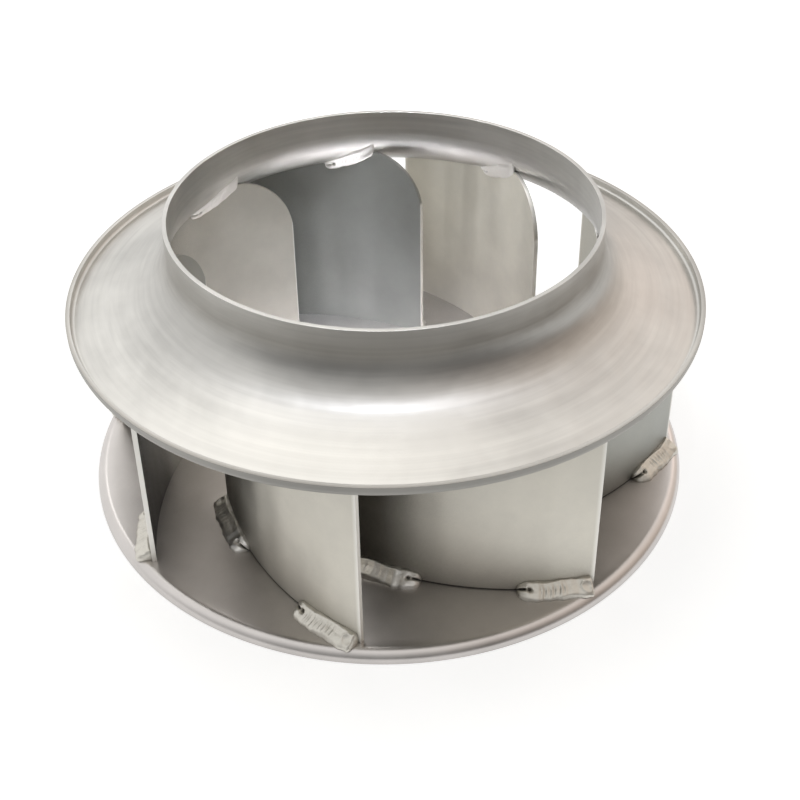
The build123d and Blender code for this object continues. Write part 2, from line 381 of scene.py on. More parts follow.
def turned_mesh(name, loop, material):
    """Closed ring turned about the shaft axis from an outline in radius and height."""
    size = len(loop)
    pairs = [(i, (i + 1) % size) for i in range(size)]
    points, faces = [], []
    for k in range(TURNED_SEGMENTS):
        angle = 2 * pi * k / TURNED_SEGMENTS
        points += [(r * cos(angle), r * sin(angle), z) for r, z in loop]
        a, b = k * size, (k + 1) % TURNED_SEGMENTS * size
        faces += [(a + i, b + i, b + j, a + j) for i, j in pairs]
    return closed_mesh(name, points, faces, material)


def cone_z(s, radius, offset=0.0):
    """Height of the cone's flow face at a radius, or of a line `offset` into the flow from it."""
    slope = s.cone_angle
    corner = s.shroud_edge_height - s.shroud_edge_depth
    corner += s.shroud_edge_bend * (1 - tan(slope) - 1 / cos(slope))
    return corner + (s.shroud_radius - radius) * tan(slope) - offset / cos(slope)


def shroud_radii(s):
    """Radii at which the flare ends and at which the slow bend starts and ends."""
    flare_end = s.inlet_radius + s.flare_radius * (1 - sin(s.shoulder_angle))
    bend_start = flare_end + s.shoulder_run * cos(s.shoulder_angle)
    return flare_end, bend_start, bend_start + s.shoulder_radius * (sin(s.shoulder_angle) - sin(s.cone_angle))


def slow_bend_z(s, radius):
    """Height of the flow face in the slow bend between the shoulder and the cone."""
    bend_end = shroud_radii(s)[2]
    centre = bend_end + s.shoulder_radius * sin(s.cone_angle)
    middle = cone_z(s, bend_end) + s.shoulder_radius * cos(s.cone_angle)
    return middle - sqrt(s.shoulder_radius**2 - (centre - radius) ** 2)


def shoulder_z(s, radius, offset=0.0):
    """Height of the shoulder's straight line at a radius, or `offset` into the flow from it."""
    start = shroud_radii(s)[1]
    return slow_bend_z(s, start) - (radius - start) * tan(s.shoulder_angle) - offset / cos(s.shoulder_angle)


def shoulder_corner(s, offset):
    """Radius and height where the lines of the shoulder and of the cone cross."""
    apart = shoulder_z(s, 0, offset) - cone_z(s, 0, offset)
    radius = apart / (tan(s.shoulder_angle) - tan(s.cone_angle))
    return radius, cone_z(s, radius, offset)


def flow_face_z(s, radius):
    """Height of the shroud's flow face at a radius: flare, shoulder, slow bend, cone."""
    flare_end, bend_start, bend_end = shroud_radii(s)
    if radius > bend_end:
        return cone_z(s, radius)
    if radius > bend_start:
        return slow_bend_z(s, radius)
    if radius > flare_end:
        return shoulder_z(s, radius)
    middle = shoulder_z(s, flare_end) + s.flare_radius * cos(s.shoulder_angle)
    inwards = s.inlet_radius + s.flare_radius - max(radius, s.inlet_radius)
    return middle - sqrt(max(0.0, s.flare_radius**2 - inwards**2))


def curve_centre(s):
    """Centre of a blade's curve, in the frame of a blade whose tip is on +X."""
    return Vector((s.tip_radius - s.blade_curve * cos(s.outlet_angle), s.blade_curve * sin(s.outlet_angle)))


def curve_angle(s, radius, inwards=0.0):
    """Angle about that centre at which the convex face, or a line inside it, crosses a radius."""
    centre = curve_centre(s)
    reach = centre.length
    line = s.blade_curve - inwards
    return atan2(-centre.y, -centre.x) + acos((reach**2 + line**2 - radius**2) / (2 * reach * line))


def curve_point(s, angle, radius):
    """Plan position at an angle and a distance about the centre of the blade's curve."""
    centre = curve_centre(s)
    return Vector((centre.x + radius * cos(angle), centre.y + radius * sin(angle)))


def turn_to_blade(s, mesh, number):
    """Turns a mesh from a blade on +X to a blade's place, counted from 1."""
    azimuth = s.first_azimuth + (number - 1) * 2 * pi / s.blade_count
    mesh.transform(Matrix.Rotation(azimuth, 4, "Z"))


def opaque(tint, share=1.0):
    """A colour, darkened to a share of itself, as a colour socket takes it."""
    return (*(share * v for v in tint), 1)


def new_material(name):
    """Empty node material, its nodes, and the place on the object in metres."""
    material = bpy.data.materials.new(name)
    material.use_nodes = True
    net = Nodes(material.node_tree)
    return material, net, net.add("TexCoord", output="Object")


def spun_aluminium(colours):
    """Aluminium sheet spun on a lathe: circular tool lines that spread highlights across them."""
    material, net, place = new_material("spun aluminium, satin with circular tool lines")
    parts, radius, meridian = net.about_axis(place)
    # Tool feed of a spinning lathe is about 0.5 mm a turn; drawn at about 1.6 mm so that it shows.
    lines = net.noise(meridian, scale=620, detail=3, roughness=0.6, dimensions="2D")
    # Bands a few millimetres wide where the roller passed with more or less force.
    bands = net.noise(meridian, scale=150, detail=3, dimensions="2D")
    smudges = net.noise(place, scale=9, detail=4, roughness=0.55)
    # Long rubs along the tool lines, a hand's breadth apart around the wheel and 3 mm across it.
    around_share = net.math("SINE", net.math("ARCTAN2", parts[1], parts[0]))
    waves_by_axis = ((radius, 300.0), (parts[2], 300.0), (around_share, 3.0))
    rub_place = {axis: net.math("MULTIPLY", *pair) for axis, pair in enumerate(waves_by_axis)}
    rubs = net.noise(net.add("CombineXYZ", rub_place), scale=1, detail=3)
    edge = net.attribute("trimmed")
    rough = net.total(0.13, (smudges, 0.36), (rubs, 0.13), (bands, 0.10), (edge, 0.35))
    marks = net.total(-0.3, (smudges, 1.6), (rubs, 0.6))
    share = net.fitted(marks, 0.55, 1.0, 0.0, 1.0)
    tint = net.blend(share, opaque(colours.spun, 0.76), opaque(colours.spun))
    tooled = net.bump(lines, strength=0.16, distance=0.06 * MM)
    wavy = net.bump(smudges, strength=0.8, distance=3.2 * MM, under=tooled)
    around = net.add("Tangent", direction_type="RADIAL", axis="Z")
    net.bare_metal(tint, rough, wavy, {"Anisotropic": 0.45, "Tangent": around})
    return material


def with_painted_shade(net, tint, strength):
    """Colour with painted shade where the wheel's parts hide the light, painted shadow along the seams, and a
    painted highlight on the cut edges.
    """
    # Painted shade: the colour darkens where the wheel's own parts hide the light within 90 mm.
    open_share = net.add("AmbientOcclusion", {"Distance": 90 * MM}, "AO", samples=6)
    closed = net.fitted(open_share, 0.2, 0.75, strength, 0.0)
    kept = net.math("SUBTRACT", 1.0, net.math("MULTIPLY", closed, net.attribute("channel")))
    # Painted shadow along the seams at the foot and under the shroud.
    shadow = net.total(1.0, (net.attribute("seam"), -0.85))
    shaded = net.scaled(tint, net.math("MULTIPLY", kept, shadow))
    # Painted highlight: a pale line along the blades' cut edges.
    return net.blend(net.attribute("cut"), shaded, opaque(linear("f2f0ea")))


def sheet_aluminium(name, dull, base, grain_axis, smoothest, painted_shade):
    """Aluminium sheet as rolled: a faint straight grain and dull patches, with painted light and shade on
    top.
    """
    material, net, place = new_material(name)
    # Rolling lines are about 0.1 mm apart; drawn at about 1.1 mm so that they show.
    stretch = [900.0] * 3
    stretch[grain_axis] = 40.0
    grained = net.add("Mapping", {"Vector": place, "Scale": stretch})
    grain = net.noise(grained, scale=1, detail=2)
    patches = net.noise(place, scale=22, detail=5, roughness=0.6)
    rough = net.total(smoothest, (patches, 0.22), (net.attribute("rubbed"), -0.1))
    # Painted light: each blade side's colour lies between the shaded and the lit colour by its stored tone.
    stock = net.blend(net.attribute("coil"), opaque(dull), opaque(base))
    tint = net.scaled(stock, net.fitted(patches, 0.3, 0.7, 0.84, 1.0))
    lined = net.bump(grain, strength=0.12, distance=0.05 * MM)
    dented = net.bump(patches, strength=0.4, distance=0.6 * MM, under=lined)
    # Upright flats the bending rollers leave in a blade, 20 to 40 mm apart.
    flats = net.noise(net.attribute("rolled"), scale=32, detail=1, dimensions="1D")
    rolled = net.bump(flats, strength=1.0, distance=1.6 * MM, under=dented)
    net.bare_metal(with_painted_shade(net, tint, painted_shade), rough, rolled)
    return material


def weld_metal(colours):
    """Aluminium as it froze behind the arc: matt and finely wrinkled, with painted shade in its hollows and
    valleys and painted light on the inner stitches.
    """
    material, net, place = new_material("aluminium weld metal, as welded")
    # Wrinkles of the oxide skin, about 1.1 mm apart.
    skin = net.noise(place, scale=900, detail=3, roughness=0.6)
    cloud = net.noise(place, scale=260, detail=3)
    clean = net.blend(cloud, opaque(colours.weld, 0.78), opaque(colours.weld))
    # Painted light on the inner stitches, which the lamps barely reach.
    bright = net.blend(net.attribute("brushed"), clean, opaque(linear("f4f2ee")))
    # Painted shade, near black, in the slit and pit of a split end.
    shaded_hollows = net.blend(net.attribute("soot"), bright, opaque(linear("3a3633")))
    # Painted shade in the valleys between the ripples and along the toes.
    crest = net.add("AmbientOcclusion", {"Distance": 2.2 * MM}, "AO", samples=5)
    tint = net.scaled(shaded_hollows, net.fitted(crest, 0.45, 0.9, 0.6, 1.0))
    wrinkled = net.bump(skin, strength=0.6, distance=0.3 * MM)
    net.bare_metal(tint, net.total(0.27, (cloud, 0.3)), wrinkled)
    return material


def turned_metal(name, base, smoothest):
    """Metal turned on a lathe: fine rings about the shaft axis and a brighter finish."""
    material, net, place = new_material(name)
    # Turning marks of 0.2 mm feed, drawn at about 0.9 mm so that they show.
    rings = net.noise(net.about_axis(place)[2], scale=1100, detail=2, dimensions="2D")
    clouds = net.noise(place, scale=60, detail=3)
    ringed = net.bump(rings, strength=0.25, distance=0.05 * MM)
    net.bare_metal(opaque(base), net.total(smoothest, (clouds, 0.14)), ringed)
    return material


def shroud_mesh(s, material):
    """The spun shroud: collar, flare, cone and upturned edge, as one turned sheet."""
    eye, edge, sheet = s.inlet_radius, s.shroud_radius, s.sheet
    corners = [
        (eye, s.overall_height),
        (eye, shoulder_z(s, eye)),
        shoulder_corner(s, 0),
        (edge, cone_z(s, edge)),
        (edge, s.shroud_edge_height),
        (edge - sheet, s.shroud_edge_height),
        (edge - sheet, cone_z(s, edge - sheet, -sheet)),
        shoulder_corner(s, -sheet),
        (eye + sheet, shoulder_z(s, eye + sheet, -sheet)),
        (eye + sheet, s.overall_height),
    ]
    lip = s.edge_round
    bends = [s.flare_radius, s.shoulder_radius, s.shroud_edge_bend]
    radii = [lip, *bends, lip, lip, *(bend - sheet for bend in reversed(bends)), lip]
    mesh = turned_mesh("shroud", rounded_loop(corners, radii), material)
    store_radial(mesh, "trimmed", edge - 3 * MM, edge - MM)
    return mesh


def back_plate_mesh(s, material):
    """The back plate: a flat disc with a turned-down edge."""
    hole, rim, top = s.plate_hole_radius, s.plate_radius, s.plate_height
    inside, under = rim - s.sheet, top - s.sheet
    corners = [(hole, top), (rim, top), (rim, 0), (inside, 0), (inside, under), (hole, under)]
    lip = s.edge_round
    radii = [lip, s.plate_edge_bend, lip, lip, s.plate_edge_bend - s.sheet, lip]
    mesh = turned_mesh("back_plate", rounded_loop(corners, radii), material)
    # Painted shade from occlusion, fading in between 125 and 155 mm from the axis.
    store_radial(mesh, "channel", 125 * MM, 155 * MM)
    bend_start = rim - s.plate_edge_bend
    store_radial(mesh, "rubbed", bend_start - 4 * MM, bend_start)
    return mesh


def blade_top(s, along, place):
    """Height of a blade's top: the rounded corner near the eye, then the slit under the shroud."""
    shroud = flow_face_z(s, place.length) - s.top_gap / cos(s.cone_angle)
    tallest = cone_z(s, s.inlet_radius) + s.corner_rise
    if along < s.corner_radius:
        tallest -= s.corner_radius - sqrt(max(0.0, s.corner_radius**2 - (s.corner_radius - along) ** 2))
    return min(shroud, tallest)


# Painted light and reflection on each blade's hollow and outer sides: 0 paints a side dull and neutral, 1
# pale and warm.
HOLLOW_PAINTED_LIGHT = (0.9, 0.7, 0.8, 1.0, 0.0, 0.9, 0.3, 0.9)
OUTER_PAINTED_LIGHT = (1.0, 0.2, 0.9, 0.85, 0.8, 0.9, 0.8, 1.0)
# Strength of the painted shade on the hollow side of each blade.
HOLLOW_PAINTED_SHADE = (1.0, 1.0, 0.3, 0.1, 0.5, 1.0, 2.2, 1.0)


def blade_mesh(s, number, material):
    """One rolled blade, standing on the plate, in its place."""
    eye = curve_angle(s, s.eye_radius)
    tip = curve_angle(s, s.tip_radius)
    whole = (tip - eye) * s.blade_curve
    corner, straight = s.corner_radius, whole - s.corner_radius
    corner_columns, columns = 30, 71
    stations = [corner * (1 - cos(pi / 2 * k / corner_columns)) for k in range(corner_columns)]
    steps = columns - 1 - corner_columns
    stations += [corner + straight * k / steps for k in range(steps + 1)]
    # Shares of the height, dense at the foot and at the top for the painted shadow along the seams.
    middle_rows = (0.02 + 0.96 * k / 24 for k in range(25))
    heights = (0.0, 0.004, 0.009, *middle_rows, 0.992, 0.997, 1.0)
    rows = len(heights) - 1
    points, sides = [], []
    marks = {"rolled": [], "cut": [], "seam": []}
    for convex, radius in ((True, s.blade_curve), (False, s.blade_curve - s.sheet)):
        for along in stations:
            place = curve_point(s, eye + along / s.blade_curve, radius)
            rise = blade_top(s, along, place) - s.plate_height
            sides += [(convex, place.length)] * (rows + 1)
            marks["rolled"] += [along + number] * (rows + 1)
            # Painted highlight along the leading and trailing edges.
            marks["cut"] += [float(min(along, whole - along) < 0.8 * MM)] * (rows + 1)
            for share in heights:
                points.append((place.x, place.y, s.plate_height + rise * share))
                # Painted shadow along the foot and along the slit under the shroud, on the outer side.
                welded = share < 0.005 or share > 0.996 and along > corner
                marks["seam"].append(float(welded and convex))
    height = rows + 1
    side = columns * height

    def quads(columns, rows, u, v):
        starts = [c * height + r for c in columns for r in rows]
        return [(a, a + u, a + u + v, a + v) for a in starts]

    faces = quads(range(columns - 1), range(rows), height, 1)
    faces += quads(range(columns, 2 * columns - 1), range(rows), height, 1)
    faces += quads(range(columns - 1), (0, rows), height, side)
    faces += quads((0, columns - 1), range(rows), 1, side)
    mesh = closed_mesh(f"blade_{number}", points, faces, material)
    # Painted shade: full on the outer side; on the hollow side it rises between 148 and 168 mm.
    shade_depth = HOLLOW_PAINTED_SHADE[number - 1]
    shaded = [shade_depth * smooth_step(148 * MM, 168 * MM, radius) for _, radius in sides]
    store(mesh, "channel", [1.0 if convex else share for (convex, _), share in zip(sides, shaded)])
    # Painted light and reflection: each side of each blade gets its own tone.
    lit_and_shaded = (HOLLOW_PAINTED_LIGHT[number - 1], OUTER_PAINTED_LIGHT[number - 1])
    store(mesh, "coil", [lit_and_shaded[convex] for convex, _ in sides])
    for name, values in marks.items():
        store(mesh, name, values)
    turn_to_blade(s, mesh, number)
    return mesh


def bead_reach(section, angle):
    """Distance from the joint's corner to the bead's crown, at an angle up from the first sheet."""
    bead_round, deep_out, deep_rise = section
    both = deep_out * cos(angle) + deep_rise * sin(angle)
    return sqrt(both**2 - deep_out**2 - deep_rise**2 + bead_round**2) - both


def bead_section(width, height, crown):
    """Radius of a bead and how deep its centre lies in the upright and in the flat sheet."""
    chord = hypot(width, height)
    bead_round = (chord**2 / 4 + crown**2) / (2 * crown)
    drop = bead_round - crown
    return bead_round, drop * height / chord - width / 2, drop * width / chord - height / 2


def rounded_share(distance, length):
    """Share of the full height at a distance from a rounded end."""
    return sqrt(1 - (1 - min(1.0, max(0.0, distance / length))) ** 2)


# Points across a bead less one, and the spacing of its rings.
BEAD_FACETS = 26
RING_STEP = 0.42 * MM
# Share and wavelength of a bead's swellings, of its sway to the side, and of its toes' waves.
SWELLS = ((0.03, 17 * MM), (0.02, 7.1 * MM))
SWAY = (0.12, 31 * MM)
TOE_WAVE = (0.012, 9.3 * MM)
# Length of a bead's blunt end, of its tapered end, and over which its ripples fade.
BLUNT_END, TAPERED_END, RIPPLE_FADE = 2.4 * MM, 9 * MM, 5 * MM


def bead_blank(s, w, name, first, last, section, side, at_shroud, forked, brushed, seed, material):
    """A stitch before its ripples: closed, fused a little into both sheets, split at one end."""
    rng = Random(seed)
    phases = [rng.uniform(0, 2 * pi) for _ in range(6)]
    face = s.blade_curve if side > 0 else s.blade_curve - s.sheet
    run, fork = (last - first) * s.blade_curve, w.fork_length
    rings = ceil(run / RING_STEP)
    half_face = 0.5 * hypot(bead_reach(section, 0), bead_reach(section, pi / 2))
    rippled_from, rippled_to = rng.uniform(0.16, 0.3) * run, rng.uniform(0.66, 0.82) * run
    crater_place = w.crater_radius + 1.3 * MM
    points = []
    attributes = {"along": [], "across": [], "lift": [], "soot": []}

    def place(angle, out, rise):
        if not at_shroud:
            spot = curve_point(s, angle, face + side * out)
            return (spot.x, spot.y, s.plate_height + rise)
        probe = 0.5 * MM
        beside = flow_face_z(s, curve_point(s, angle, face + side * probe).length)
        climb = (beside - flow_face_z(s, curve_point(s, angle, face).length)) / probe
        spot = curve_point(s, angle, face + side * out / sqrt(1 + climb**2))
        return (spot.x, spot.y, flow_face_z(s, spot.length) - rise)

    def wave(along, share, wavelength, phase):
        return share * sin(2 * pi * along / wavelength + phase)

    for ring in range(rings + 1):
        along = run * ring / rings
        to_fork, to_blunt = (run - along, along) if forked else (along, run - along)
        tapered = 0.3 + 0.7 * rounded_share(to_fork, TAPERED_END)
        swell = 1.0
        for (share, wavelength), phase in zip(SWELLS, phases):
            swell += wave(along, share, wavelength, phase)
        full = max(0.1, rounded_share(to_blunt, BLUNT_END) * tapered) * swell
        sway = wave(along, *SWAY, phases[2])
        split = 0.9 * (1 - smooth_step(0.5 * fork, 0.8 * fork, to_fork))
        sunk = smooth_step(0.5 * fork, 1.6 * fork, to_fork)
        slim = 0.45 + 0.55 * smooth_step(0, 16 * MM, along) if side < 0 else 1.0
        rippled = smooth_step(0, RIPPLE_FADE, along - rippled_from)
        fading = smooth_step(0, RIPPLE_FADE, rippled_to - along)
        outline = []
        values = {key: [] for key in attributes}
        for k in range(BEAD_FACETS + 1):
            turn = pi / 2 * k / BEAD_FACETS
            off = (turn - pi / 4) / (pi / 4) + sway
            aside = off * half_face * full
            slit = split * bell(aside, 0.5 * w.slit_width)
            pit = 0.55 * bell(hypot(to_fork - 0.95 * fork, aside), w.pit_radius)
            hollow = min(0.95, slit + pit * (1 - slit))
            trough = 0.08 * bell(off, 0.42) * sunk
            ridges = 0.055 * (bell(off - 0.72, 0.16) + bell(off + 0.72, 0.16))
            to_ring = hypot(to_blunt - crater_place, aside)
            crater = 0.05 * bell(to_ring - w.crater_radius, 0.7 * MM)
            crater -= 0.04 * bell(to_ring, 0.6 * w.crater_radius)
            shape = (1 - hollow) * (1 - trough + ridges + crater)
            toe = wave(along, *TOE_WAVE, phases[3 + (k > BEAD_FACETS / 2)])
            reach = bead_reach(section, turn) * full * shape * (1 + toe * abs(off))
            outline.append((slim * reach * cos(turn), reach * sin(turn)))
            values["along"].append(along)
            values["across"].append(k / BEAD_FACETS)
            values["lift"].append(bell(off + 0.1, 0.46) * rippled * fading * (1 - hollow))
            # Painted shade in the deeper part of the slit and pit.
            values["soot"].append(min(1.0, 1.3 * max(0.0, hollow - 0.25)))
        for key, row in values.items():
            start, end = (0.0, 0.0) if key == "lift" else (row[0], row[-1])
            attributes[key] += [start, *row, end, end]
        roots = (-w.sink, outline[-1][1]), (-w.sink, -w.sink)
        outline = [(outline[0][0], -w.sink), *outline, *roots]
        points += [place(first + along / s.blade_curve, out, rise) for out, rise in outline]
    size = BEAD_FACETS + 4
    faces = band_faces(rings, size)
    faces += [tuple(range(size)), tuple(rings * size + k for k in range(size))]
    mesh = closed_mesh(name, points, faces, material)
    for key, row in attributes.items():
        store(mesh, key, row)
    # Share of painted light on this stitch.
    store(mesh, "brushed", [brushed] * len(points))
    return mesh


def node_group(name, sockets):
    """Geometry node group with named inputs and one geometry output, its nodes and its inputs."""
    tree = bpy.data.node_groups.new(name, "GeometryNodeTree")
    for label, kind in sockets.items():
        tree.interface.new_socket(name=label, in_out="INPUT", socket_type=f"NodeSocket{kind}")
    tree.interface.new_socket(name="Geometry", in_out="OUTPUT", socket_type="NodeSocketGeometry")
    net = Nodes(tree)
    return tree, net, net.add("NodeGroupInput", output=None)


def close_group(net, geometry, material):
    """Makes a group's copies real, gives them their material and puts them out."""
    real = net.add("GeometryNodeRealizeInstances", {0: geometry})
    dressed = net.add("GeometryNodeSetMaterial", {"Geometry": real, "Material": material})
    net.add("NodeGroupOutput", {0: dressed}, None)


def ripple_tree():
    """Geometry nodes that raise a weld's ripples along its stored length and width."""
    numbers = dict.fromkeys(("Pitch", "Height", "Bow", "Wander", "Seed"), "Float")
    sockets = {"Geometry": "Geometry", **numbers, "Material": "Material"}
    tree, net, given = node_group("weld ripples", sockets)
    math = net.math
    along, across, lift = (
        net.add("GeometryNodeInputNamedAttribute", {"Name": label}, data_type="FLOAT")
        for label in ("along", "across", "lift")
    )
    off_centre = math("SUBTRACT", across, 0.5)
    square = math("MULTIPLY", math("MULTIPLY", off_centre, off_centre), 4.0)
    bowed = math("MULTIPLY_ADD", square, given["Bow"], along)
    spot = {0: math("MULTIPLY", along, 160.0), 1: across, 2: given["Seed"]}
    sway = net.noise(net.add("CombineXYZ", spot), scale=1, detail=1)
    swayed = math("MULTIPLY_ADD", math("SUBTRACT", sway, 0.5), given["Wander"], bowed)
    phase = math("FRACT", math("DIVIDE", swayed, given["Pitch"]))
    # A ripple climbs over the first part of its pitch and falls over the rest.
    crest = 0.28
    rising = net.fitted(phase, 0.0, crest, 0.0, 1.0, "SMOOTHSTEP")
    falling = net.fitted(phase, crest, 1.0, 1.0, 0.0, "SMOOTHSTEP")
    wave = math("SUBTRACT", math("MINIMUM", rising, falling), 0.6)
    rise = math("MULTIPLY", math("MULTIPLY", wave, given["Height"]), lift)
    offset = net.scaled(net.add("GeometryNodeInputNormal"), rise)
    moved = net.add("GeometryNodeSetPosition", {"Geometry": given["Geometry"], "Offset": offset})
    close_group(net, moved, given["Material"])
    return tree


def stitch(s, w, kind, number, tree, material):
    """One rippled stitch of a blade, in its place."""
    eye = curve_angle(s, s.eye_radius)
    tip = curve_angle(s, s.tip_radius)
    foot = bead_section(w.foot_leg, w.leg, w.foot_crown)
    under_edge = bead_section(w.leg, w.leg, w.crown)
    beside_eye = bead_section(w.top_leg, w.top_leg, w.top_crown)
    last_outer = tip - w.tip_setback / s.blade_curve
    outer = last_outer - w.outer_length / s.blade_curve, last_outer
    first_foot = eye + w.foot_setback / s.blade_curve
    inner = first_foot, first_foot + w.inner_length / s.blade_curve
    first_top = curve_angle(s, s.inlet_radius + w.top_inset, s.sheet)
    top = first_top, first_top + w.top_length / s.blade_curve
    # First and last angle, section, side, at the shroud, forked end and share of painted light.
    kinds = {
        "foot_weld_outer": (*outer, foot, 1, False, False, 0.0),
        "foot_weld_inner": (*inner, foot, 1, False, True, 0.6),
        "shroud_weld_outer": (*outer, under_edge, 1, True, False, 0.0),
        "shroud_weld_inner": (*top, beside_eye, -1, True, True, 1.0),
    }
    name = f"{kind}_{number}"
    seed = w.seed + 31 * number + 1000 * list(kinds).index(kind)
    mesh = bead_blank(s, w, name, *kinds[kind], seed, material)
    turn_to_blade(s, mesh, number)
    piece = link_object(name, mesh)
    values = {"Pitch": w.ripple_pitch, "Bow": w.ripple_bow, "Wander": w.ripple_wander}
    values["Height"] = w.ripple_height * (1.0 if kind.endswith("outer") else 0.3)
    apply_group(piece, tree, {**values, "Seed": float(seed), "Material": material})
    piece.data.shade_smooth()
    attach(piece, "root")
    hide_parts(name)


def screw_mesh(s, k, material):
    """A button-head screw with a hexagon socket that faces down, on the shaft axis."""
    under = s.plate_height - s.sheet
    low = under - k.head_height
    segments = 48
    flat = k.socket * cos(pi / 6)
    bend_radius = 0.62 * k.head_height
    chamfer = 0.25 * MM
    bottom = low + k.socket_depth
    # Share of the hexagon's radius, more radius, and height.
    rings = [(0.55, 0, bottom), (1, 0, bottom), (1, 0, low + chamfer), (1, chamfer, low)]
    rings.append((0, k.head - bend_radius, low))
    steps = 6
    for step in range(1, steps + 1):
        bend = pi / 2 * step / steps
        spread = k.head - bend_radius * (1 - sin(bend))
        rings.append((0, spread, low + bend_radius * (1 - cos(bend))))
    rings += [(0, k.head, under), (0, k.shank, under), (0, k.shank, s.plate_height + k.grip)]
    points = []
    for share, more, z in rings:
        for i in range(segments):
            angle = 2 * pi * i / segments
            radius = share * flat / cos((angle + pi / 6) % (pi / 3) - pi / 6) + more
            points.append((radius * cos(angle), radius * sin(angle), z))
    bands = len(rings) - 1
    faces = [tuple(range(segments)), tuple(bands * segments + i for i in range(segments))]
    mesh = closed_mesh("hub_screw", points, faces + band_faces(bands, segments), material)
    mesh.set_sharp_from_angle(angle=radians(40))
    return mesh


def ring_tree():
    """Geometry nodes that set copies of an object evenly on a circle about the shaft axis."""
    sockets = {"Geometry": "Geometry", "Count": "Int", "Radius": "Float", "Material": "Material"}
    tree, net, given = node_group("ring of screws", sockets)
    circle = net.add("GeometryNodeMeshCircle", {"Vertices": given["Count"], "Radius": given["Radius"]})
    copied = {"Points": circle, "Instance": given["Geometry"]}
    close_group(net, net.add("GeometryNodeInstanceOnPoints", copied), given["Material"])
    return tree


def redress(node, material):
    """Gives a CAD node that stays a better material."""
    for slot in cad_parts[node].material_slots:
        slot.material = material


class Builder:
    """What the operators share: each builds from the scene's settings."""

    def execute(self, context):
        self.build(context.scene)
        return {"FINISHED"}


class IMPELLER_OT_shroud(Builder, bpy.types.Operator):
    """Build the spun inlet shroud"""

    bl_idname = "impeller.shroud"
    bl_label = "Shroud"

    def build(self, scene):
        mesh = shroud_mesh(scene.impeller_sheets, spun_aluminium(scene.impeller_finishes))
        finish_piece("shroud_spun", mesh, ["shroud"])


class IMPELLER_OT_back_plate(Builder, bpy.types.Operator):
    """Build the back plate with its turned-down edge"""

    bl_idname = "impeller.back_plate"
    bl_label = "Back plate"

    def build(self, scene):
        tint = scene.impeller_finishes.plate
        name = "rolled aluminium sheet, dull plate"
        material = sheet_aluminium(name, tint, tint, grain_axis=0, smoothest=0.30, painted_shade=0.5)
        mesh = back_plate_mesh(scene.impeller_sheets, material)
        finish_piece("back_plate_flanged", mesh, ["back_plate"])


class IMPELLER_OT_blades(Builder, bpy.types.Operator):
    """Build the ring of rolled blades"""

    bl_idname = "impeller.blades"
    bl_label = "Blades"

    def build(self, scene):
        sizes = scene.impeller_sheets
        finishes = scene.impeller_finishes
        name = "rolled aluminium sheet, satin blade"
        # Shaded and lit ends of the painted light on the blades' sides.
        lit_and_shaded = finishes.dull_blade, finishes.blade
        material = sheet_aluminium(name, *lit_and_shaded, grain_axis=2, smoothest=0.42, painted_shade=0.85)
        sharp = {"limit_method": "ANGLE", "angle_limit": radians(50)}
        bevel = ("BEVEL", {"width": sizes.edge_round, "segments": 2, **sharp})
        weight = ("WEIGHTED_NORMAL", {"keep_sharp": True, "weight": 60})
        for number in range(1, sizes.blade_count + 1):
            mesh = blade_mesh(sizes, number, material)
            name = f"blade_{number}"
            finish_piece(f"{name}_rolled", mesh, [name], [bevel, weight])


class IMPELLER_OT_welds(Builder, bpy.types.Operator):
    """Build the rippled weld stitches at the foot and the top of every blade"""

    bl_idname = "impeller.welds"
    bl_label = "Weld stitches"

    def build(self, scene):
        sizes = scene.impeller_sheets
        material = weld_metal(scene.impeller_finishes)
        tree = ripple_tree()
        for kind in ("foot_weld_outer", "foot_weld_inner", "shroud_weld_outer", "shroud_weld_inner"):
            for number in range(1, sizes.blade_count + 1):
                stitch(sizes, scene.impeller_welds, kind, number, tree, material)


class IMPELLER_OT_hub(Builder, bpy.types.Operator):
    """Dress the turned hub and its set screw"""

    bl_idname = "impeller.hub"
    bl_label = "Hub"

    def build(self, scene):
        finishes = scene.impeller_finishes
        redress("hub", turned_metal("aluminium, turned", finishes.turned, 0.24))
        redress("set_screw", turned_metal("steel, zinc plated, set screw", finishes.zinc, 0.26))


class IMPELLER_OT_hub_screws(Builder, bpy.types.Operator):
    """Build the ring of button-head screws under the hub"""

    bl_idname = "impeller.hub_screws"
    bl_label = "Hub screws"

    def build(self, scene):
        material = turned_metal("steel, zinc plated", scene.impeller_finishes.zinc, 0.26)
        sizes = scene.impeller_screws
        mesh = screw_mesh(scene.impeller_sheets, sizes, material)
        ring = link_object("hub_screws_ring", mesh)
        values = {"Count": sizes.count, "Radius": sizes.circle, "Material": material}
        apply_group(ring, ring_tree(), values)
        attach(ring, "root")
        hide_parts("hub_screws")


def area_light(name, place, aim, size, power, tint):
    """A square soft light aimed at a point."""
    lamp = bpy.data.lights.new(name, "AREA")
    lamp.shape = "SQUARE"
    lamp.size = size
    lamp.energy = power
    lamp.color = linear(tint)
    light = link_object(name, lamp)
    light.location = place
    light.rotation_euler = (Vector(aim) - Vector(place)).to_track_quat("-Z", "Y").to_euler()
    return lamp


def gloss_share(net):
    """Light path, and 1 for rays that a metal or a glass sends on."""
    path = net.add("LightPath", output=None)
    return path, net.math("MAXIMUM", path["Is Glossy Ray"], path["Is Transmission Ray"])


